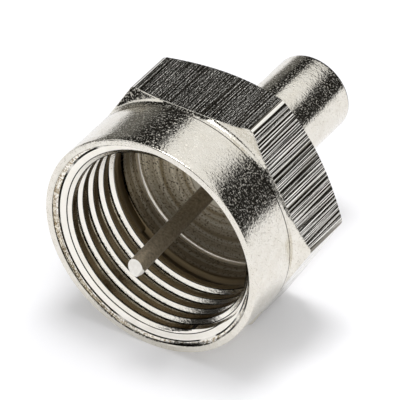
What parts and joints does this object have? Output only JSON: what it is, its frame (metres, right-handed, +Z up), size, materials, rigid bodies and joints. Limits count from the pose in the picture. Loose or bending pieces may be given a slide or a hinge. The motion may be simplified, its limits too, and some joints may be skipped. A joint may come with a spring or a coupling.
{
  "type": "f connector",
  "caption": "Coaxial F-type terminating plug: nickel-plated collar with an internal thread, hexagon, slim closed rear sleeve and a fixed centre pin.",
  "frame": {"origin": "point on the axis where the centre pin leaves the seat, the plane that the mating jack's nose stops against", "axes": "-Y along the axis out of the threaded mouth, +Y along the rear sleeve, +Z up through the top flat of the hexagon, with the plug lying on its bottom flat"},
  "size_m": [0.0126, 0.0159, 0.0112],
  "materials": {
    "nickel_plate": "bright nickel plate over turned brass",
    "tinned_wire": "tinned copper wire",
    "bead_plastic": "natural polymer",
    "ceramic": "matt ceramic rod",
    "cap_steel": "tinned pressed steel",
    "solder": "bright solder"
  },
  "bodies": {
    "root": {"shell": "nickel_plate", "centre_pin": "tinned_wire", "insulator": "bead_plastic", "resistor_front_cap": "cap_steel", "resistor_core": "ceramic", "resistor_rear_cap": "cap_steel", "rear_lead": "tinned_wire", "solder_plug": "solder"}
  },
  "joints": []
}
